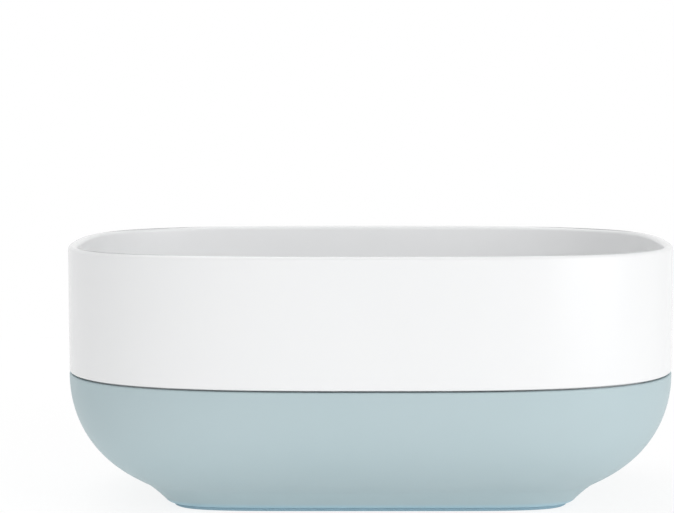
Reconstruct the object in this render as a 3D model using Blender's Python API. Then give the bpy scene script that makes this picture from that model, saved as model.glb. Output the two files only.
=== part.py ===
"""Two-part soap dish: a draining tray that lifts off a reservoir base, which stands on a non-slip pad.

Every piece is a shell round one rounded-rectangle plan. Its section is a path of (inset, height)
points swept round that plan, where inset is measured inwards from the straight walls.
Metres, +Z up, X along the length. The origin is the centre of the face that the dish stands on.
"""

import math

import bmesh
import bpy
from mathutils import Vector

# Plan of the straight walls. An outline power of 2 is an ellipse, and higher ones are squarer.
LENGTH = 0.120
DEPTH = 0.080
WALL_OUTLINE_POWER = 3.0
FOOT_OUTLINE_POWER = 5.8

# Heights of the pieces that stack up, and the clearance between neighbours
TRAY_HEIGHT = 0.0248
BASE_HEIGHT = 0.0253
PAD_THICKNESS = 0.0009
CLEARANCE = 0.0003

# Tray: straight walls, rounded lip, draining floor and the spigot that centres it in the base
TRAY_WALL = 0.0020
TRAY_LIP_ROUND = 0.0008
TRAY_SEAM_ROUND = 0.0004
TRAY_FLOOR = 0.0018
TRAY_FLOOR_RISE = 0.0020
TRAY_CORNER_ROUND = 0.0040
SPIGOT_WALL = 0.0015
SPIGOT_DEPTH = 0.0030
SPIGOT_CHAMFER = 0.0004

# Draining floor: ribs across the tray, with a slot in each space between them
SLOT_COUNT = 9
SLOT_WIDTH = 0.0026
SLOT_END_GAP = 0.0060
RIB_WIDTH = 0.0024
RIB_HEIGHT = 0.0018
RIB_TOP_ROUND = 0.0009
RIB_END_GAP = 0.0035

# Base: a bowl that rounds under to a waist, where the side of the foot turns down more steeply
BASE_WALL = 0.0020
BASE_RIM_ROUND = 0.0004
BASE_FLOOR = 0.0018
FLOOR_BLEND_HEIGHT = 0.0012
WAIST_INSET = 0.0171
WAIST_HEIGHT = 0.0023
WAIST_ANGLE = math.radians(36)
BOWL_RIM_HANDLE_SHARE = 0.61
BOWL_WAIST_HANDLE_SHARE = 0.29
FOOT_FLARE = 0.0024
FOOT_ANGLE = math.radians(33)
FOOT_HANDLE_SHARE = 0.33

# Pad: a flange set back under the foot, and a raised middle that sits in a recess of the base
PAD_SET_BACK = 0.0006
PAD_TOP_ROUND = 0.0002
PAD_BOTTOM_ROUND = 0.0006
PAD_RECESS_DEPTH = 0.0012
PAD_RECESS_MARGIN = 0.0030
GROOVE_MARGIN = 0.0030
GROOVE_WIDTH = 0.0012
GROOVE_DEPTH = 0.0005

# How far a cutter runs past the face that it cuts
CUT_OVERRUN = 0.0010

# Steps round the plan, down the bowl and the foot, round an edge, and round the end of a slot or rib
OUTLINE_STEPS = 72
BOWL_STEPS = 10
FOOT_STEPS = 5
EDGE_STEPS = 3
END_STEPS = 6
SHARP_ANGLE = math.radians(30)

# Heights and insets that follow from the sizes above
BASE_UNDERSIDE = PAD_THICKNESS + CLEARANCE
BASE_RIM = BASE_UNDERSIDE + BASE_HEIGHT
TRAY_SEAM = BASE_RIM + CLEARANCE
TRAY_RIM = TRAY_SEAM + TRAY_HEIGHT
TRAY_FLOOR_UNDERSIDE = TRAY_SEAM + TRAY_FLOOR_RISE
TRAY_FLOOR_TOP = TRAY_FLOOR_UNDERSIDE + TRAY_FLOOR
TRAY_FLOOR_INSET = TRAY_WALL + TRAY_CORNER_ROUND
SPIGOT_OUTER_INSET = BASE_WALL + CLEARANCE
SPIGOT_INNER_INSET = SPIGOT_OUTER_INSET + SPIGOT_WALL
SLOT_PITCH = (LENGTH - 2 * TRAY_FLOOR_INSET) / (SLOT_COUNT + 1)
FOOT_INSET = WAIST_INSET + FOOT_FLARE
RECESS_INSET = FOOT_INSET + PAD_RECESS_MARGIN
RECESS_CEILING = BASE_UNDERSIDE + PAD_RECESS_DEPTH
BASE_FLOOR_TOP = RECESS_CEILING + BASE_FLOOR
SAME_POINT = CLEARANCE / 100


def clear_scene():
    for obj in list(bpy.data.objects):
        bpy.data.objects.remove(obj)


def material(name, colour, roughness):
    mat = bpy.data.materials.new(name)
    mat.use_nodes = True
    shader = mat.node_tree.nodes["Principled BSDF"]
    shader.inputs["Base Color"].default_value = (*colour, 1.0)
    shader.inputs["Roughness"].default_value = roughness
    mat.diffuse_color = (*colour, 1.0)
    return mat


def outline_power(inset):
    """The plan grows squarer in step with the inset, from the walls to the foot."""
    return WALL_OUTLINE_POWER + (FOOT_OUTLINE_POWER - WALL_OUTLINE_POWER) * inset / FOOT_INSET


def outline_point(inset, angle):
    """A point of the plan at this inset, as a superellipse."""
    power = outline_power(inset)
    across = math.cos(angle)
    along = math.sin(angle)
    reach = (abs(across) ** power + abs(along) ** power) ** (-1 / power)
    return (LENGTH / 2 - inset) * reach * across, (DEPTH / 2 - inset) * reach * along


def outline_half_depth(inset, x):
    """Half the depth of the plan at this inset, at a place along its length."""
    power = outline_power(inset)
    left = 1 - min(abs(x) / (LENGTH / 2 - inset), 1) ** power
    return (DEPTH / 2 - inset) * left ** (1 / power)


def arc(centre, radius, start, end):
    """Points round an edge of a section, from one angle to another in degrees."""
    points = []
    for step in range(EDGE_STEPS + 1):
        angle = math.radians(start + (end - start) * step / EDGE_STEPS)
        points.append(centre + radius * Vector((math.cos(angle), math.sin(angle))))
    return points


def curve(start, start_handle, end_handle, end, steps):
    """Points along a cubic curve, from its two ends and two handles."""
    points = []
    for step in range(steps + 1):
        t = step / steps
        s = 1 - t
        near_start = s * s * s * start + 3 * s * s * t * start_handle
        near_end = 3 * s * t * t * end_handle + t * t * t * end
        points.append(near_start + near_end)
    return points


def slope(angle):
    """The direction in a section that runs inwards and down at this angle below level."""
    return Vector((math.cos(angle), -math.sin(angle)))


def waist_point():
    return Vector((WAIST_INSET, BASE_UNDERSIDE + WAIST_HEIGHT))


def bowl_path():
    """The outside of the bowl, from the straight wall at its rim down to the waist."""
    rim = Vector((0, BASE_RIM - BASE_RIM_ROUND))
    waist = waist_point()
    height = rim.y - waist.y
    rim_handle = rim - Vector((0, BOWL_RIM_HANDLE_SHARE * height))
    waist_handle = waist - BOWL_WAIST_HANDLE_SHARE * height * slope(WAIST_ANGLE)
    return curve(rim, rim_handle, waist_handle, waist, BOWL_STEPS)


def foot_path():
    """The side of the foot, from the waist down to the edge above the pad."""
    waist = waist_point()
    edge = Vector((FOOT_INSET, BASE_UNDERSIDE))
    handle = FOOT_HANDLE_SHARE * (edge - waist).length
    waist_handle = waist + handle * slope(WAIST_ANGLE)
    edge_handle = edge - handle * slope(FOOT_ANGLE)
    return curve(waist, waist_handle, edge_handle, edge, FOOT_STEPS)


def inside_of(path, wall):
    """The same path moved inwards by the wall's thickness, without its first point."""
    moved = []
    for index in range(1, len(path)):
        before = path[index - 1]
        after = path[min(index + 1, len(path) - 1)]
        along = (after - before).normalized()
        moved.append(path[index] + wall * Vector((-along.y, along.x)))
    return moved


def cut_at_height(path, height):
    """The part of a falling path above a height, ended on that height."""
    kept = []
    for upper, lower in zip(path, path[1:]):
        kept.append(upper)
        if lower.y <= height:
            kept.append(upper.lerp(lower, (upper.y - height) / (upper.y - lower.y)))
            return kept
    return kept + path[-1:]


def floor_blend(path, floor):
    """The curve that carries the end of a falling path on to a level floor."""
    end = path[-1]
    along = (end - path[-2]).normalized()
    corner = end + along * ((end.y - floor) / -along.y)
    landing = Vector((corner.x + (corner - end).length, floor))
    points = []
    for step in range(1, EDGE_STEPS + 1):
        t = step / EDGE_STEPS
        points.append((1 - t) * (1 - t) * end + 2 * t * (1 - t) * corner + t * t * landing)
    return points


def without_repeats(path):
    kept = path[:1]
    for point in path[1:]:
        if (point - kept[-1]).length > SAME_POINT:
            kept.append(point)
    return kept


def join_rings(mesh, rings):
    """Makes the walls between rings of vertices, and closes the first and last with a face each."""
    count = len(rings[0])
    for ring, after in zip(rings, rings[1:]):
        for step in range(count):
            follow = (step + 1) % count
            mesh.faces.new((ring[step], ring[follow], after[follow], after[step]))
    mesh.faces.new(reversed(rings[0]))
    mesh.faces.new(rings[-1])


def swept_shell(name, section):
    """Sweeps a section round the plan, from the middle of its underside out and back to the middle."""
    mesh = bmesh.new()
    rings = []
    for point in without_repeats(section):
        ring = []
        for step in range(OUTLINE_STEPS):
            x, y = outline_point(point.x, math.tau * step / OUTLINE_STEPS)
            ring.append(mesh.verts.new((x, y, point.y)))
        rings.append(ring)
    join_rings(mesh, rings)
    return as_object(name, mesh)


def add_bar(mesh, x, half_length, half_width, levels):
    """Adds an upright bar with round ends, which runs across the dish.

    Levels are (inset, height) points up its side, lowest first.
    """
    rings = []
    for inset, height in levels:
        ring = []
        for end in (1, -1):
            centre = Vector((x, end * (half_length - half_width), height))
            for step in range(END_STEPS + 1):
                angle = math.pi * step / END_STEPS
                side = Vector((math.cos(angle), math.sin(angle), 0))
                ring.append(mesh.verts.new(centre + end * (half_width - inset) * side))
        rings.append(ring)
    join_rings(mesh, rings)


def as_object(name, mesh):
    data = bpy.data.meshes.new(name)
    mesh.to_mesh(data)
    mesh.free()
    data.shade_smooth()
    data.set_sharp_from_angle(angle=SHARP_ANGLE)
    obj = bpy.data.objects.new(name, data)
    bpy.context.scene.collection.objects.link(obj)
    return obj


def as_tool(name, mesh):
    tool = as_object(name, mesh)
    tool.hide_render = True
    tool.display_type = "WIRE"
    return tool


def rib_bars():
    """The ribs that lift what lies in the tray clear of its wet floor."""
    mesh = bmesh.new()
    crown = min(RIB_TOP_ROUND, RIB_WIDTH / 2 - SAME_POINT)
    sunk = TRAY_FLOOR_TOP - TRAY_FLOOR / 2
    levels = [(0, sunk)]
    for point in arc(Vector((crown, TRAY_FLOOR_TOP + RIB_HEIGHT - crown)), crown, 180, 90):
        levels.append((point.x, point.y))
    for index in range(SLOT_COUNT + 1):
        x = SLOT_PITCH * (index - SLOT_COUNT / 2)
        half_length = outline_half_depth(TRAY_FLOOR_INSET, x) - RIB_END_GAP
        add_bar(mesh, x, half_length, RIB_WIDTH / 2, levels)
    return as_tool("rib_bars", mesh)


def slot_bars():
    """The bars that cut a drain slot between each two ribs, right through the floor."""
    mesh = bmesh.new()
    levels = [(0, TRAY_FLOOR_UNDERSIDE - CUT_OVERRUN), (0, TRAY_FLOOR_TOP + CUT_OVERRUN)]
    for index in range(SLOT_COUNT):
        x = SLOT_PITCH * (index - (SLOT_COUNT - 1) / 2)
        half_length = outline_half_depth(TRAY_FLOOR_INSET, x) - SLOT_END_GAP
        add_bar(mesh, x, half_length, SLOT_WIDTH / 2, levels)
    return as_tool("slot_bars", mesh)


def apply_boolean(obj, operation, tool):
    modifier = obj.modifiers.new(operation.lower(), "BOOLEAN")
    modifier.operation = operation
    modifier.solver = "EXACT"
    modifier.object = tool


def drain_tray():
    """The upper moulding: walls, lip, ribbed and slotted floor, and the spigot under it."""
    round_lip = min(TRAY_LIP_ROUND, TRAY_WALL / 2)
    lip = TRAY_RIM - round_lip
    spigot_end = TRAY_SEAM - SPIGOT_DEPTH
    section = [
        Vector((SPIGOT_INNER_INSET, TRAY_FLOOR_UNDERSIDE)),
        Vector((SPIGOT_INNER_INSET, spigot_end)),
        Vector((SPIGOT_OUTER_INSET + SPIGOT_CHAMFER, spigot_end)),
        Vector((SPIGOT_OUTER_INSET, spigot_end + SPIGOT_CHAMFER)),
        Vector((SPIGOT_OUTER_INSET, TRAY_SEAM)),
    ]
    section += arc(Vector((TRAY_SEAM_ROUND, TRAY_SEAM + TRAY_SEAM_ROUND)), TRAY_SEAM_ROUND, 270, 180)
    section += arc(Vector((round_lip, lip)), round_lip, 180, 90)
    section += arc(Vector((TRAY_WALL - round_lip, lip)), round_lip, 90, 0)
    corner = Vector((TRAY_FLOOR_INSET, TRAY_FLOOR_TOP + TRAY_CORNER_ROUND))
    section += arc(corner, TRAY_CORNER_ROUND, 180, 270)
    tray = swept_shell("drain_tray", section)
    tray.data.materials.append(material("white_plastic", (0.84, 0.85, 0.86), 0.22))
    apply_boolean(tray, "UNION", rib_bars())
    apply_boolean(tray, "DIFFERENCE", slot_bars())


def reservoir_base():
    """The lower moulding: a bowl of even thickness on a foot, with the pad's recess under it."""
    outside = bowl_path()
    round_rim = min(BASE_RIM_ROUND, BASE_WALL / 2)
    rim = BASE_RIM - round_rim
    section = [Vector((RECESS_INSET, RECESS_CEILING)), Vector((RECESS_INSET, BASE_UNDERSIDE))]
    section += reversed(foot_path())
    section += reversed(outside)
    section += arc(Vector((round_rim, rim)), round_rim, 180, 90)
    section += arc(Vector((BASE_WALL - round_rim, rim)), round_rim, 90, 0)
    inside = cut_at_height(inside_of(outside, BASE_WALL), BASE_FLOOR_TOP + FLOOR_BLEND_HEIGHT)
    section += inside
    section += floor_blend(inside, BASE_FLOOR_TOP)
    base = swept_shell("reservoir_base", section)
    base.data.materials.append(material("blue_grey_plastic", (0.43, 0.55, 0.58), 0.55))


def foot_pad():
    """The non-slip pad, with a shallow groove round the face that the dish stands on."""
    edge = FOOT_INSET + PAD_SET_BACK
    round_top = min(PAD_TOP_ROUND, PAD_THICKNESS / 2)
    round_bottom = min(PAD_BOTTOM_ROUND, PAD_THICKNESS - round_top)
    groove_outer = edge + round_bottom + GROOVE_MARGIN
    groove_inner = groove_outer + GROOVE_WIDTH
    boss_inset = RECESS_INSET + CLEARANCE
    section = [
        Vector((groove_inner, 0)),
        Vector((groove_inner, GROOVE_DEPTH)),
        Vector((groove_outer, GROOVE_DEPTH)),
        Vector((groove_outer, 0)),
    ]
    section += arc(Vector((edge + round_bottom, round_bottom)), round_bottom, 270, 180)
    section += arc(Vector((edge + round_top, PAD_THICKNESS - round_top)), round_top, 180, 90)
    section += [
        Vector((boss_inset, PAD_THICKNESS)),
        Vector((boss_inset, RECESS_CEILING - CLEARANCE)),
    ]
    pad = swept_shell("foot_pad", section)
    pad.data.materials.append(material("blue_rubber", (0.25, 0.37, 0.43), 0.7))


clear_scene()
drain_tray()
reservoir_base()
foot_pad()
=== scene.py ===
import math

import bmesh
import bpy
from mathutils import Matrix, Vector
from mathutils.geometry import interpolate_bezier


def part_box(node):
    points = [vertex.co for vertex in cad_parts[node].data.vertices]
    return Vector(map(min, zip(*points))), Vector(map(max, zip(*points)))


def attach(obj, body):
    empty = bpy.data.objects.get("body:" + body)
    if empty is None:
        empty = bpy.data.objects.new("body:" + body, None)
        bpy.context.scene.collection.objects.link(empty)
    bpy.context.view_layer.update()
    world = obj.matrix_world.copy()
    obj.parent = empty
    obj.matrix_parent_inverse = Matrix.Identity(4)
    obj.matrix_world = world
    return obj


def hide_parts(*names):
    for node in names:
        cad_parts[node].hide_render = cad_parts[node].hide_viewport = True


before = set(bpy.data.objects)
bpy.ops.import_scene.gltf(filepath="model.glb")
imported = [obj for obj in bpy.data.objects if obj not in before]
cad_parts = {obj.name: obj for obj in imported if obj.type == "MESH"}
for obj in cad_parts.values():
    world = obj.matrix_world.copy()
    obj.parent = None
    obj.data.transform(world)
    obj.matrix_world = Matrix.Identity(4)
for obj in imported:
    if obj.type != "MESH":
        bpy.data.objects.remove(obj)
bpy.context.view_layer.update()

# Foot pad. A thin flange of soft blue rubber, set back a little under the foot, which grips a wet
# shelf. It is moulded with a raised middle that is pressed into the recess of the base, and a
# shallow groove round its face lets water out from under it.
tray_low, tray_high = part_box("drain_tray")
pad_low, pad_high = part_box("foot_pad")

HALF_LENGTH = tray_high.x
HALF_DEPTH = tray_high.y
WALL_OUTLINE_POWER = 3.0
FOOT_OUTLINE_POWER = 5.8
FOOT_INSET = 0.0195
PLAN_STEPS = 256
EDGE_STEP = 0.00008
LAID_TOLERANCE = 0.000001
SMOOTH_ANGLE = math.radians(35)
PATTERN_DETAIL = 2.0
COLOUR_PATTERN_LOW = 0.35
COLOUR_PATTERN_HIGH = 0.65
ROUGHNESS_PATTERN_LOW = 0.3
ROUGHNESS_PATTERN_HIGH = 0.7


def plan_power(inset):
    """The plan grows squarer in step with the inset, from the walls to the foot."""
    return WALL_OUTLINE_POWER + (FOOT_OUTLINE_POWER - WALL_OUTLINE_POWER) * inset / FOOT_INSET


def plan_point(inset, turn):
    """A point of the dish's rounded plan, this far in from its straight walls."""
    power = plan_power(inset)
    across = math.cos(turn)
    along = math.sin(turn)
    reach = (abs(across) ** power + abs(along) ** power) ** (-1 / power)
    return (HALF_LENGTH - inset) * reach * across, (HALF_DEPTH - inset) * reach * along


def lay_ring(shell, station, inset, height):
    """Lays the selected ring of a shell on the plan."""
    mesh = bmesh.from_edit_mesh(shell.data)
    turn = mesh.verts.layers.float["turn"]
    number = mesh.verts.layers.int["station"]
    for vert in mesh.verts:
        if vert.select:
            vert.co = (*plan_point(inset, vert[turn]), height)
            vert[number] = station
    bmesh.update_edit_mesh(shell.data)


def round_loops(shell, section, radius):
    """Bevels the loops of a section that are rounded to this radius.

    The points of an earlier round carry the number of its loop too, but they lie off the section.
    """
    bpy.ops.mesh.select_all(action="DESELECT")
    mesh = bmesh.from_edit_mesh(shell.data)
    turn = mesh.verts.layers.float["turn"]
    number = mesh.verts.layers.int["station"]
    corners = set()
    for vert in mesh.verts:
        inset, height, rounding = section[vert[number]]
        laid = Vector((*plan_point(inset, vert[turn]), height))
        if rounding == radius and (vert.co - laid).length < LAID_TOLERANCE:
            corners.add(vert)
    for edge in mesh.edges:
        first, second = edge.verts
        if first in corners and second in corners and first[number] == second[number]:
            edge.select_set(True)
    bmesh.update_edit_mesh(shell.data)
    bpy.ops.mesh.bevel(offset=radius, segments=math.ceil(radius / EDGE_STEP), affect="EDGES")


def draw_shell(name, section):
    """Draws a shell round the plan through a section, from under its middle round to its top.

    Each point of the section is its inset, its height and the radius that its edge is rounded to.
    """
    bpy.ops.object.select_all(action="DESELECT")
    bpy.ops.mesh.primitive_circle_add(vertices=PLAN_STEPS, radius=HALF_LENGTH, fill_type="NGON")
    shell = bpy.context.object
    shell.name = name
    shell.data.name = name
    bpy.ops.object.mode_set(mode="EDIT")
    bpy.ops.mesh.select_mode(type="EDGE")
    bpy.ops.mesh.select_all(action="SELECT")
    mesh = bmesh.from_edit_mesh(shell.data)
    turn = mesh.verts.layers.float.new("turn")
    mesh.verts.layers.int.new("station")
    for vert in mesh.verts:
        vert[turn] = math.atan2(vert.co.y, vert.co.x)
    for station, (inset, height, radius) in enumerate(section):
        if station:
            bpy.ops.mesh.extrude_region_move()
        lay_ring(shell, station, inset, height)
    for radius in sorted({radius for inset, height, radius in section if radius}):
        round_loops(shell, section, radius)
    bpy.ops.object.mode_set(mode="OBJECT")
    return shell


def soften(shell):
    """Shades a finished moulding smooth over its rounded edges and true over its flats."""
    for layer in ("turn", "station"):
        shell.data.attributes.remove(shell.data.attributes[layer])
    bpy.ops.object.select_all(action="DESELECT")
    shell.select_set(True)
    bpy.context.view_layer.objects.active = shell
    bpy.ops.object.shade_smooth_by_angle(angle=SMOOTH_ANGLE)
    weighting = shell.modifiers.new("weighting", "WEIGHTED_NORMAL")
    weighting.keep_sharp = True
    bpy.ops.object.modifier_apply(modifier=weighting.name)


def new_material(name, colour, roughness):
    """A material of one colour and roughness, which patterns can then vary."""
    material = bpy.data.materials.new(name)
    material.use_nodes = True
    shader = material.node_tree.nodes["Principled BSDF"]
    shader.inputs["Base Color"].default_value = (*colour, 1)
    shader.inputs["Roughness"].default_value = roughness
    return material


def new_node(material, kind, **values):
    """Adds a node and sets its sockets by name, with an underscore for each space."""
    node = material.node_tree.nodes.new(kind)
    for name, value in values.items():
        node.inputs[name.replace("_", " ")].default_value = value
    return node


def blotches(material, size, detail=PATTERN_DETAIL):
    """A soft pattern over the piece, whose blotches are about this size."""
    place = new_node(material, "ShaderNodeTexCoord")
    noise = new_node(material, "ShaderNodeTexNoise", Scale=1 / size, Detail=detail)
    material.node_tree.links.new(place.outputs["Object"], noise.inputs["Vector"])
    return noise.outputs["Fac"]


def vary_colour(material, size, dark, light):
    """Lets the colour wander between a dark and a light one, in blotches of this size."""
    shader = material.node_tree.nodes["Principled BSDF"]
    pattern = blotches(material, size)
    ramp = new_node(material, "ShaderNodeValToRGB")
    low, high = ramp.color_ramp.elements
    low.position = COLOUR_PATTERN_LOW
    low.color = (*dark, 1)
    high.position = COLOUR_PATTERN_HIGH
    high.color = (*light, 1)
    material.node_tree.links.new(pattern, ramp.inputs["Fac"])
    material.node_tree.links.new(ramp.outputs["Color"], shader.inputs["Base Color"])


def vary_roughness(material, size, smooth, rough):
    """Lets the roughness wander between a smooth and a rough one, in blotches of this size."""
    shader = material.node_tree.nodes["Principled BSDF"]
    pattern = blotches(material, size)
    limits = new_node(
        material,
        "ShaderNodeMapRange",
        From_Min=ROUGHNESS_PATTERN_LOW,
        From_Max=ROUGHNESS_PATTERN_HIGH,
        To_Min=smooth,
        To_Max=rough,
    )
    material.node_tree.links.new(pattern, limits.inputs["Value"])
    material.node_tree.links.new(limits.outputs["Result"], shader.inputs["Roughness"])


def add_relief(material, size, detail, height):
    """Raises the surface by up to this height, in blotches of this size."""
    shader = material.node_tree.nodes["Principled BSDF"]
    pattern = blotches(material, size, detail)
    bump = new_node(material, "ShaderNodeBump", Distance=height)
    material.node_tree.links.new(pattern, bump.inputs["Height"])
    material.node_tree.links.new(bump.outputs["Normal"], shader.inputs["Normal"])


PAD_TOP = 0.00075
PAD_SETBACK = 0.0011
PAD_TOP_ROUND = 0.0001
PAD_BOTTOM_ROUND = 0.0004
GROOVE_SETBACK = 0.0031
GROOVE_WIDTH = 0.0012
GROOVE_DEPTH = 0.0005
GROOVE_ROUND = 0.0002
BOSS_SETBACK = 0.0022
BOSS_ROUND = 0.0002
PAD_EDGE_INSET = FOOT_INSET + PAD_SETBACK
GROOVE_INSET = PAD_EDGE_INSET + GROOVE_SETBACK
BOSS_INSET = PAD_EDGE_INSET + BOSS_SETBACK
RUBBER_COLOUR = (0.325, 0.475, 0.555)
RUBBER_DARK = (0.310, 0.460, 0.540)
RUBBER_LIGHT = (0.340, 0.490, 0.570)
RUBBER_CLOUD_SIZE = 0.006
RUBBER_ROUGHNESS = 0.7
RUBBER_SMOOTHEST = 0.66
RUBBER_ROUGHEST = 0.78
RUBBER_SMEAR_SIZE = 0.003
RUBBER_GRAIN_SIZE = 0.0003
RUBBER_GRAIN_DETAIL = 4.0
RUBBER_GRAIN_HEIGHT = 0.00002

pad_section = [
    (GROOVE_INSET + GROOVE_WIDTH, pad_low.z, GROOVE_ROUND),
    (GROOVE_INSET + GROOVE_WIDTH, pad_low.z + GROOVE_DEPTH, GROOVE_ROUND),
    (GROOVE_INSET, pad_low.z + GROOVE_DEPTH, GROOVE_ROUND),
    (GROOVE_INSET, pad_low.z, GROOVE_ROUND),
    (PAD_EDGE_INSET, pad_low.z, PAD_BOTTOM_ROUND),
    (PAD_EDGE_INSET, PAD_TOP, PAD_TOP_ROUND),
    (BOSS_INSET, PAD_TOP, BOSS_ROUND),
    (BOSS_INSET, pad_high.z, BOSS_ROUND),
]
grip_pad = draw_shell("grip_pad", pad_section)
soften(grip_pad)

blue_rubber = new_material("blue_rubber", RUBBER_COLOUR, RUBBER_ROUGHNESS)
vary_colour(blue_rubber, RUBBER_CLOUD_SIZE, RUBBER_DARK, RUBBER_LIGHT)
vary_roughness(blue_rubber, RUBBER_SMEAR_SIZE, RUBBER_SMOOTHEST, RUBBER_ROUGHEST)
add_relief(blue_rubber, RUBBER_GRAIN_SIZE, RUBBER_GRAIN_DETAIL, RUBBER_GRAIN_HEIGHT)
grip_pad.data.materials.append(blue_rubber)
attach(grip_pad, "base")
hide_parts("foot_pad")

# Reservoir base. A blue-grey plastic bowl of even thickness with a fine satin skin. It is moulded in
# one with its small foot, and a recess under the foot takes the pad. The thin edge of the foot is
# painted bluer and lighter towards its bottom: a painted bounce light from the pad under it.
base_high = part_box("reservoir_base")[1]
BASE_WALL = 0.0020
BASE_RIM_ROUND = 0.0004
BASE_FLOOR = 0.0018
FLOOR_BLEND_HEIGHT = 0.0012
FLOOR_BLEND_HANDLE_SHARE = 2 / 3
WAIST_INSET = 0.0150
WAIST_HEIGHT = 0.0050
WAIST_ANGLE = math.radians(29)
BOWL_RIM_HANDLE_SHARE = 0.598
BOWL_WAIST_HANDLE_SHARE = 0.257
FOOT_UNDERSIDE = 0.0008
FOOT_ANGLE = math.radians(50)
FOOT_WAIST_HANDLE_SHARE = 0.20
FOOT_EDGE_HANDLE_SHARE = 0.31
FOOT_EDGE_ROUND = 0.0006
CLEARANCE = 0.0003
RECESS_ROUND = 0.0004
RECESS_INSET = BOSS_INSET - CLEARANCE
RECESS_CEILING = pad_high.z + CLEARANCE
BASE_FLOOR_TOP = RECESS_CEILING + BASE_FLOOR
BOWL_STEPS = 26
FOOT_STEPS = 12
FLOOR_BLEND_STEPS = 6
BASE_COLOUR = (0.462, 0.566, 0.594)
BASE_DARK = (0.455, 0.560, 0.588)
BASE_LIGHT = (0.469, 0.572, 0.600)
BASE_CLOUD_SIZE = 0.03
BASE_SPECULAR_LEVEL = 0.3
BASE_ROUGHNESS = 0.5
BASE_SMOOTHEST = 0.44
BASE_ROUGHEST = 0.54
BASE_SMEAR_SIZE = 0.008
BASE_GRAIN_SIZE = 0.0004
BASE_GRAIN_DETAIL = 3.0
BASE_GRAIN_HEIGHT = 0.000012
# Painted bounce light: the foot's edge is painted bluer and lighter than the bowl, fully at the lower
# height and fading out at the upper one.
FOOT_PAINTED_BOUNCE = (0.435, 0.620, 0.700)
FOOT_BOUNCE_FULL_HEIGHT = 0.0011
FOOT_BOUNCE_END_HEIGHT = 0.0019


def slope(angle):
    """The direction in a section that runs inwards and down at this angle below level."""
    return Vector((math.cos(angle), -math.sin(angle)))


def bowl_side():
    """The outside of the bowl, from its rim down to the waist above the foot."""
    rim = Vector((0, base_high.z - BASE_RIM_ROUND))
    waist = Vector((WAIST_INSET, WAIST_HEIGHT))
    height = rim.y - waist.y
    rim_handle = rim - Vector((0, BOWL_RIM_HANDLE_SHARE * height))
    waist_handle = waist - BOWL_WAIST_HANDLE_SHARE * height * slope(WAIST_ANGLE)
    return interpolate_bezier(rim, rim_handle, waist_handle, waist, BOWL_STEPS + 1)


def foot_side():
    """The side of the foot, from the waist down to its edge above the pad."""
    waist = Vector((WAIST_INSET, WAIST_HEIGHT))
    edge = Vector((FOOT_INSET, FOOT_UNDERSIDE))
    length = (edge - waist).length
    waist_handle = waist + FOOT_WAIST_HANDLE_SHARE * length * slope(WAIST_ANGLE)
    edge_handle = edge - FOOT_EDGE_HANDLE_SHARE * length * slope(FOOT_ANGLE)
    return interpolate_bezier(waist, waist_handle, edge_handle, edge, FOOT_STEPS + 1)


def bowl_inside(outside):
    """The outside moved in by the wall, as far down as the blend into the floor."""
    inside = []
    for before, here, after in zip(outside, outside[1:], outside[2:]):
        along = (after - before).normalized()
        point = here + BASE_WALL * Vector((-along.y, along.x))
        if point.y > BASE_FLOOR_TOP + FLOOR_BLEND_HEIGHT:
            inside.append(point)
    return inside


def floor_blend(inside):
    """The curve that carries the inside of the bowl on to its level floor."""
    end = inside[-1]
    along = (end - inside[-2]).normalized()
    corner = end + along * ((end.y - BASE_FLOOR_TOP) / -along.y)
    landing = corner + Vector(((corner - end).length, 0))
    end_handle = end.lerp(corner, FLOOR_BLEND_HANDLE_SHARE)
    landing_handle = landing.lerp(corner, FLOOR_BLEND_HANDLE_SHARE)
    return interpolate_bezier(end, end_handle, landing_handle, landing, FLOOR_BLEND_STEPS)


def unrounded(points):
    """The points of a curve as points of a section, with no round of their own."""
    return [(point.x, point.y, 0) for point in points]


def paint_foot_bounce_light(material):
    """Paints a bluer, lighter colour over the base colour on the way down to the foot's edge, as painted
    bounce light from the pad.
    """
    shader = material.node_tree.nodes["Principled BSDF"]
    colour = shader.inputs["Base Color"].links[0].from_socket
    place = new_node(material, "ShaderNodeTexCoord")
    axes = new_node(material, "ShaderNodeSeparateXYZ")
    share = new_node(
        material,
        "ShaderNodeMapRange",
        From_Min=FOOT_BOUNCE_END_HEIGHT,
        From_Max=FOOT_BOUNCE_FULL_HEIGHT,
    )
    mix = new_node(material, "ShaderNodeMixRGB", Color2=(*FOOT_PAINTED_BOUNCE, 1))
    material.node_tree.links.new(place.outputs["Object"], axes.inputs["Vector"])
    material.node_tree.links.new(axes.outputs["Z"], share.inputs["Value"])
    material.node_tree.links.new(share.outputs["Result"], mix.inputs["Fac"])
    material.node_tree.links.new(colour, mix.inputs["Color1"])
    material.node_tree.links.new(mix.outputs["Color"], shader.inputs["Base Color"])


bowl_outside = bowl_side()
bowl_lining = bowl_inside(bowl_outside)
base_section = [
    (RECESS_INSET, RECESS_CEILING, RECESS_ROUND),
    (RECESS_INSET, FOOT_UNDERSIDE, FOOT_EDGE_ROUND),
    (FOOT_INSET, FOOT_UNDERSIDE, FOOT_EDGE_ROUND),
    *unrounded(reversed(foot_side()[1:-1])),
    *unrounded(reversed(bowl_outside[1:])),
    (0, base_high.z, BASE_RIM_ROUND),
    (BASE_WALL, base_high.z, BASE_RIM_ROUND),
    *unrounded(bowl_lining + floor_blend(bowl_lining)[1:]),
]
bowl = draw_shell("bowl", base_section)
soften(bowl)

blue_grey_plastic = new_material("blue_grey_plastic", BASE_COLOUR, BASE_ROUGHNESS)
base_shader = blue_grey_plastic.node_tree.nodes["Principled BSDF"]
base_shader.inputs["Specular IOR Level"].default_value = BASE_SPECULAR_LEVEL
vary_colour(blue_grey_plastic, BASE_CLOUD_SIZE, BASE_DARK, BASE_LIGHT)
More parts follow.
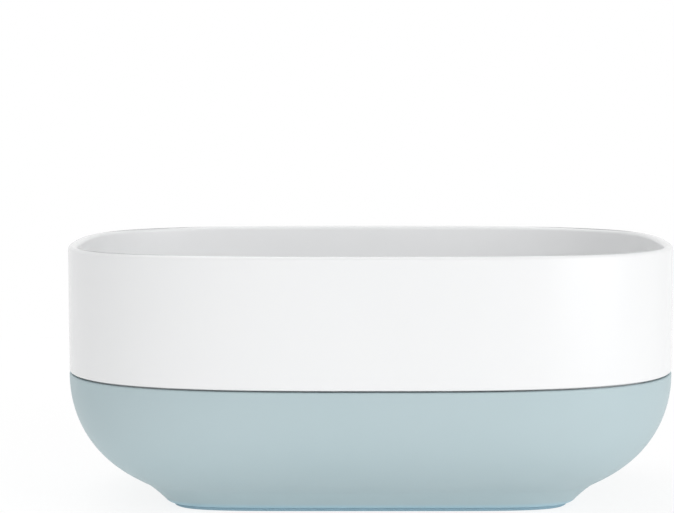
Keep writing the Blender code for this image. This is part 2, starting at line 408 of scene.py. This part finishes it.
# Painted bounce light from the pad, bluer and lighter along the foot's edge.
paint_foot_bounce_light(blue_grey_plastic)
vary_roughness(blue_grey_plastic, BASE_SMEAR_SIZE, BASE_SMOOTHEST, BASE_ROUGHEST)
add_relief(blue_grey_plastic, BASE_GRAIN_SIZE, BASE_GRAIN_DETAIL, BASE_GRAIN_HEIGHT)
bowl.data.materials.append(blue_grey_plastic)
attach(bowl, "base")
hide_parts("reservoir_base")

# Draining tray. A glossy white plastic moulding with straight walls and a rounded lip. The spigot
# under it drops into the mouth of the bowl and centres it, and only its own weight holds it down.
TRAY_WALL = 0.0020
LIP_ROUND = 0.0008
SEAM_ROUND = 0.0004
SPIGOT_WALL = 0.0015
SPIGOT_ROUND = 0.0004
TRAY_FLOOR = 0.0018
TRAY_FLOOR_RISE = 0.0020
CORNER_ROUND = 0.0040
CORNER_STEPS = 9
SEAM = base_high.z + CLEARANCE
TRAY_UNDERSIDE = SEAM + TRAY_FLOOR_RISE
TRAY_FLOOR_TOP = TRAY_UNDERSIDE + TRAY_FLOOR
TRAY_FLOOR_INSET = TRAY_WALL + CORNER_ROUND
SPIGOT_OUTER_INSET = BASE_WALL + CLEARANCE
SPIGOT_INNER_INSET = SPIGOT_OUTER_INSET + SPIGOT_WALL
TRAY_COLOUR = (0.86, 0.865, 0.87)
TRAY_DARK = (0.858, 0.864, 0.869)
TRAY_LIGHT = (0.862, 0.866, 0.871)
TRAY_CLOUD_SIZE = 0.02
TRAY_ROUGHNESS = 0.25
TRAY_SMOOTHEST = 0.22
TRAY_ROUGHEST = 0.265
TRAY_SMEAR_SIZE = 0.006
TRAY_GRAIN_SIZE = 0.0006
TRAY_GRAIN_DETAIL = 2.0
TRAY_GRAIN_HEIGHT = 0.000003


def arc(centre, radius, start, end, steps):
    """Points round a centre, from one angle to another in degrees."""
    points = []
    for step in range(steps + 1):
        angle = math.radians(start + (end - start) * step / steps)
        points.append(Vector(centre) + radius * Vector((math.cos(angle), math.sin(angle))))
    return points


corner_centre = (TRAY_FLOOR_INSET, TRAY_FLOOR_TOP + CORNER_ROUND)
tray_section = [
    (SPIGOT_INNER_INSET, TRAY_UNDERSIDE, SPIGOT_ROUND),
    (SPIGOT_INNER_INSET, tray_low.z, SPIGOT_ROUND),
    (SPIGOT_OUTER_INSET, tray_low.z, SPIGOT_ROUND),
    (SPIGOT_OUTER_INSET, SEAM, 0),
    (0, SEAM, SEAM_ROUND),
    (0, tray_high.z, LIP_ROUND),
    (TRAY_WALL, tray_high.z, LIP_ROUND),
    *unrounded(arc(corner_centre, CORNER_ROUND, 180, 270, CORNER_STEPS)),
]
tray = draw_shell("tray", tray_section)

# Draining floor. Ribs with filleted roots and rounded tops are moulded on the tray's floor to lift
# what lies in it, and a slot with rounded edges between each two of them lets the water through.
SLOT_COUNT = 9
SLOT_WIDTH = 0.0026
SLOT_EDGE_ROUND = 0.0004
SLOT_END_GAP = 0.0060
RIB_WIDTH = 0.0024
RIB_HEIGHT = 0.0018
RIB_TOP_ROUND = 0.0009
RIB_ROOT_ROUND = 0.0006
RIB_END_GAP = 0.0035
SLOT_PITCH = 2 * (HALF_LENGTH - TRAY_FLOOR_INSET) / (SLOT_COUNT + 1)
PEG_STEPS = 32
EDGE_SEGMENTS = 5
OVERRUN = 0.0005
BITE = 0.00002


def turned_peg(name, levels):
    """Draws a round peg upwards through levels, each a radius and a height, and leaves its top selected."""
    bpy.ops.object.select_all(action="DESELECT")
    radius, height = levels[0]
    half_step = math.pi / PEG_STEPS
    bpy.ops.mesh.primitive_circle_add(
        vertices=PEG_STEPS,
        radius=radius,
        fill_type="NGON",
        location=(0, 0, height),
        rotation=(0, 0, half_step),
    )
    peg = bpy.context.object
    peg.name = name
    bpy.ops.object.mode_set(mode="EDIT")
    bpy.ops.mesh.select_mode(type="FACE")
    bpy.ops.mesh.select_all(action="SELECT")
    for below, above in zip(levels, levels[1:]):
        growth = above[0] / below[0]
        bpy.ops.mesh.extrude_region_move(TRANSFORM_OT_translate={"value": (0, 0, above[1] - below[1])})
        bpy.ops.transform.resize(value=(growth, growth, 1), center_override=(0, 0, above[1]))
    return peg


def lay_peg(peg):
    """Ends the drawing of a peg, with its place in its mesh."""
    bpy.ops.object.mode_set(mode="OBJECT")
    bpy.ops.object.transform_apply(location=True, rotation=True, scale=True)
    return peg


def pulled_apart(peg, x, half_length, half_width):
    """A copy of a peg at a place along the dish, with its halves drawn apart into a bar."""
    bpy.ops.object.select_all(action="DESELECT")
    peg.select_set(True)
    bpy.context.view_layer.objects.active = peg
    bpy.ops.object.duplicate()
    bar = bpy.context.object
    bpy.ops.object.mode_set(mode="EDIT")
    bpy.ops.mesh.select_mode(type="VERT")
    for side in (1, -1):
        bpy.ops.mesh.select_all(action="DESELECT")
        mesh = bmesh.from_edit_mesh(bar.data)
        for vert in mesh.verts:
            vert.select_set(vert.co.y * side > 0 and abs(vert.co.y) < half_length - half_width)
        mesh.select_flush(True)
        bmesh.update_edit_mesh(bar.data)
        bpy.ops.transform.translate(value=(0, side * (half_length - half_width), 0))
    bpy.ops.mesh.select_all(action="SELECT")
    bpy.ops.transform.translate(value=(x, 0, 0))
    bpy.ops.object.mode_set(mode="OBJECT")
    return bar


def floor_half_depth(x):
    """Half the depth of the tray's level floor, at a place along its length."""
    power = plan_power(TRAY_FLOOR_INSET)
    remaining = 1 - (abs(x) / (HALF_LENGTH - TRAY_FLOOR_INSET)) ** power
    return (HALF_DEPTH - TRAY_FLOOR_INSET) * remaining ** (1 / power)


def bars_along(peg, count, end_gap, width):
    """A row of bars across the tray, made from one peg and joined."""
    bars = []
    for index in range(count):
        x = SLOT_PITCH * (index - (count - 1) / 2)
        bars.append(pulled_apart(peg, x, floor_half_depth(x) - end_gap, width / 2))
    bpy.ops.object.select_all(action="DESELECT")
    for bar in bars:
        bar.select_set(True)
    bpy.context.view_layer.objects.active = bars[0]
    bpy.ops.object.join()
    bpy.data.objects.remove(peg)
    return bars[0]


def combine(piece, operation, tool):
    """Joins a tool to the piece or cuts it out, and takes the tool away."""
    bpy.ops.object.select_all(action="DESELECT")
    piece.select_set(True)
    bpy.context.view_layer.objects.active = piece
    modifier = piece.modifiers.new("combine", "BOOLEAN")
    modifier.operation = operation
    modifier.solver = "EXACT"
    modifier.object = tool
    bpy.ops.object.modifier_apply(modifier=modifier.name)
    bpy.data.objects.remove(tool)


rib_radius = RIB_WIDTH / 2
root_centre = (rib_radius + RIB_ROOT_ROUND, TRAY_FLOOR_TOP + RIB_ROOT_ROUND - BITE)
rib_levels = [(rib_radius + RIB_ROOT_ROUND, TRAY_FLOOR_TOP - TRAY_FLOOR / 2)]
rib_levels += arc(root_centre, RIB_ROOT_ROUND, 270, 180, EDGE_SEGMENTS)
rib_levels.append((rib_radius, TRAY_FLOOR_TOP + RIB_HEIGHT))
rib_peg = turned_peg("rib_peg", rib_levels)
bpy.ops.mesh.bevel(offset=RIB_TOP_ROUND, segments=EDGE_SEGMENTS, affect="EDGES")
lay_peg(rib_peg)
ribs = bars_along(rib_peg, SLOT_COUNT + 1, RIB_END_GAP, RIB_WIDTH)

slot_radius = SLOT_WIDTH / 2
flare = slot_radius + SLOT_EDGE_ROUND
lower_centre = (flare, TRAY_UNDERSIDE + SLOT_EDGE_ROUND - BITE)
upper_centre = (flare, TRAY_FLOOR_TOP - SLOT_EDGE_ROUND + BITE)
slot_levels = [(flare, TRAY_UNDERSIDE - OVERRUN)]
slot_levels += arc(lower_centre, SLOT_EDGE_ROUND, 270, 180, EDGE_SEGMENTS)
slot_levels += arc(upper_centre, SLOT_EDGE_ROUND, 180, 90, EDGE_SEGMENTS)
slot_levels.append((flare, TRAY_FLOOR_TOP + OVERRUN))
slot_peg = lay_peg(turned_peg("slot_peg", slot_levels))
slots = bars_along(slot_peg, SLOT_COUNT, SLOT_END_GAP, SLOT_WIDTH)

combine(tray, "UNION", ribs)
combine(tray, "DIFFERENCE", slots)
soften(tray)

white_plastic = new_material("white_plastic", TRAY_COLOUR, TRAY_ROUGHNESS)
vary_colour(white_plastic, TRAY_CLOUD_SIZE, TRAY_DARK, TRAY_LIGHT)
vary_roughness(white_plastic, TRAY_SMEAR_SIZE, TRAY_SMOOTHEST, TRAY_ROUGHEST)
add_relief(white_plastic, TRAY_GRAIN_SIZE, TRAY_GRAIN_DETAIL, TRAY_GRAIN_HEIGHT)
tray.data.materials.append(white_plastic)
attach(tray, "tray")
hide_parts("drain_tray")

# Studio. The dish stands on a pale table that glows a little and fades into a white room, which
# lights it a little more from the front. A large soft light stands low at the right of the front, a
# weaker one behind the camera, and a third hangs high up over the left of the back.
FLOOR_RADIUS = 0.9
FLOOR_STEPS = 64
FLOOR_COLOUR = (0.92, 0.92, 0.92)
FLOOR_ROUGHNESS = 0.9
FLOOR_SPECULAR_LEVEL = 0.1
FLOOR_GLOW = 0.20
FLOOR_WHITENESS = 0.8
FADE_START = 0.15
FADE_END = 0.45
WHITE = (1, 1, 1, 1)
ROOM_RIGHT_BACK_TOP = (0.45, 0.55, 0.60)
ROOM_LEFT_FRONT_BOTTOM = (0.48, 0.80, 0.60)
LIGHT_SIZE = 0.6
KEY_LIGHT_PLACE = (0.70, -0.55, 0.25)
KEY_LIGHT_POWER = 2.6
FRONT_LIGHT_PLACE = (0.0, -0.95, 0.30)
FRONT_LIGHT_POWER = 0.7
TOP_LIGHT_PLACE = (-0.25, 0.25, 0.82)
TOP_LIGHT_POWER = 2.1


def seen_directly(owner):
    """1 for what the camera sees itself, in a reflection or through a clear thing, and 0 for the rest."""
    nodes = owner.node_tree.nodes
    links = owner.node_tree.links
    path = nodes.new("ShaderNodeLightPath")
    reflected = nodes.new("ShaderNodeMath")
    reflected.operation = "MAXIMUM"
    links.new(path.outputs["Is Camera Ray"], reflected.inputs[0])
    links.new(path.outputs["Is Glossy Ray"], reflected.inputs[1])
    seen = nodes.new("ShaderNodeMath")
    seen.operation = "MAXIMUM"
    links.new(reflected.outputs["Value"], seen.inputs[0])
    links.new(path.outputs["Is Transmission Ray"], seen.inputs[1])
    return seen.outputs["Value"]


def studio_floor():
    """A pale table that glows a little and fades into the room."""
    bpy.ops.object.select_all(action="DESELECT")
    bpy.ops.mesh.primitive_circle_add(vertices=FLOOR_STEPS, radius=FLOOR_RADIUS, fill_type="NGON")
    floor = bpy.context.object
    floor.name = "floor"
    paint = new_material("pale_floor", FLOOR_COLOUR, FLOOR_ROUGHNESS)
    shader = paint.node_tree.nodes["Principled BSDF"]
    shader.inputs["Specular IOR Level"].default_value = FLOOR_SPECULAR_LEVEL
    shader.inputs["Emission Color"].default_value = WHITE
    shader.inputs["Emission Strength"].default_value = FLOOR_GLOW
    links = paint.node_tree.links
    place = new_node(paint, "ShaderNodeTexCoord")
    distance = new_node(paint, "ShaderNodeVectorMath")
    distance.operation = "LENGTH"
    links.new(place.outputs["Object"], distance.inputs[0])
    fade = new_node(paint, "ShaderNodeMapRange", From_Min=FADE_START, From_Max=FADE_END)
    fade.interpolation_type = "SMOOTHSTEP"
    links.new(distance.outputs["Value"], fade.inputs["Value"])
    pale = new_node(paint, "ShaderNodeMath")
    pale.operation = "MULTIPLY"
    pale.inputs[1].default_value = FLOOR_WHITENESS
    links.new(seen_directly(paint), pale.inputs[0])
    white = new_node(paint, "ShaderNodeEmission")
    whiten = new_node(paint, "ShaderNodeMixShader")
    links.new(pale.outputs["Value"], whiten.inputs["Fac"])
    links.new(shader.outputs["BSDF"], whiten.inputs[1])
    links.new(white.outputs["Emission"], whiten.inputs[2])
    clear = new_node(paint, "ShaderNodeBsdfTransparent")
    mix = new_node(paint, "ShaderNodeMixShader")
    links.new(fade.outputs["Result"], mix.inputs["Fac"])
    links.new(whiten.outputs["Shader"], mix.inputs[1])
    links.new(clear.outputs["BSDF"], mix.inputs[2])
    links.new(mix.outputs["Shader"], paint.node_tree.nodes["Material Output"].inputs["Surface"])
    floor.data.materials.append(paint)


def white_room():
    """A room that is white to the camera and in reflections, and lights the dish more from some sides."""
    world = bpy.data.worlds.new("white_room")
    bpy.context.scene.world = world
    world.use_nodes = True
    nodes = world.node_tree.nodes
    links = world.node_tree.links
    nodes.clear()
    lighting = nodes.new("ShaderNodeBackground")
    direction = nodes.new("ShaderNodeTexCoord").outputs["Generated"]
    total = nodes.new("ShaderNodeMath")
    sides = (("MAXIMUM", ROOM_RIGHT_BACK_TOP), ("MINIMUM", ROOM_LEFT_FRONT_BOTTOM))
    for index, (limit, strengths) in enumerate(sides):
        half = nodes.new("ShaderNodeVectorMath")
        half.operation = limit
        links.new(direction, half.inputs[0])
        square = nodes.new("ShaderNodeVectorMath")
        square.operation = "MULTIPLY"
        links.new(half.outputs["Vector"], square.inputs[0])
        links.new(half.outputs["Vector"], square.inputs[1])
        share = nodes.new("ShaderNodeVectorMath")
        share.operation = "DOT_PRODUCT"
        share.inputs[1].default_value = strengths
        links.new(square.outputs["Vector"], share.inputs[0])
        links.new(share.outputs["Value"], total.inputs[index])
    links.new(total.outputs["Value"], lighting.inputs["Strength"])
    lighting.inputs["Color"].default_value = WHITE
    shown = nodes.new("ShaderNodeBackground")
    shown.inputs["Color"].default_value = WHITE
    mix = nodes.new("ShaderNodeMixShader")
    links.new(seen_directly(world), mix.inputs["Fac"])
    links.new(lighting.outputs["Background"], mix.inputs[1])
    links.new(shown.outputs["Background"], mix.inputs[2])
    output = nodes.new("ShaderNodeOutputWorld")
    links.new(mix.outputs["Shader"], output.inputs["Surface"])


def softbox(name, place, power):
    """A square soft light that faces the dish."""
    light = bpy.data.lights.new(name, "AREA")
    light.shape = "SQUARE"
    light.size = LIGHT_SIZE
    light.energy = power
    lamp = bpy.data.objects.new(name, light)
    bpy.context.scene.collection.objects.link(lamp)
    lamp.location = place
    facing = Vector((0, 0, tray_high.z / 2)) - Vector(place)
    lamp.rotation_euler = facing.to_track_quat("-Z", "Y").to_euler()


studio_floor()
white_room()
softbox("key_light", KEY_LIGHT_PLACE, KEY_LIGHT_POWER)
softbox("front_light", FRONT_LIGHT_PLACE, FRONT_LIGHT_POWER)
softbox("top_light", TOP_LIGHT_PLACE, TOP_LIGHT_POWER)

# Camera. It stands in front of the dish a little above its rim, with a long lens. The dish is
# right of the middle of the picture, which the lens shift gives.
CAMERA_DISTANCE = 0.4167
CAMERA_HEIGHT = 0.0850
CAMERA_PITCH = 0.0880
CAMERA_LENS = 110.39
CAMERA_SHIFT = -0.0498
CAMERA_NEAR = 0.01
CAMERA_FAR = 20

camera_data = bpy.data.cameras.new("camera")
camera_data.lens = CAMERA_LENS
camera_data.shift_x = CAMERA_SHIFT
camera_data.clip_start = CAMERA_NEAR
camera_data.clip_end = CAMERA_FAR
camera = bpy.data.objects.new("camera", camera_data)
bpy.context.scene.collection.objects.link(camera)
camera.location = (0, -CAMERA_DISTANCE, CAMERA_HEIGHT)
camera.rotation_euler = (math.pi / 2 - CAMERA_PITCH, 0, 0)
bpy.context.scene.camera = camera
bpy.context.scene.view_settings.view_transform = "Standard"
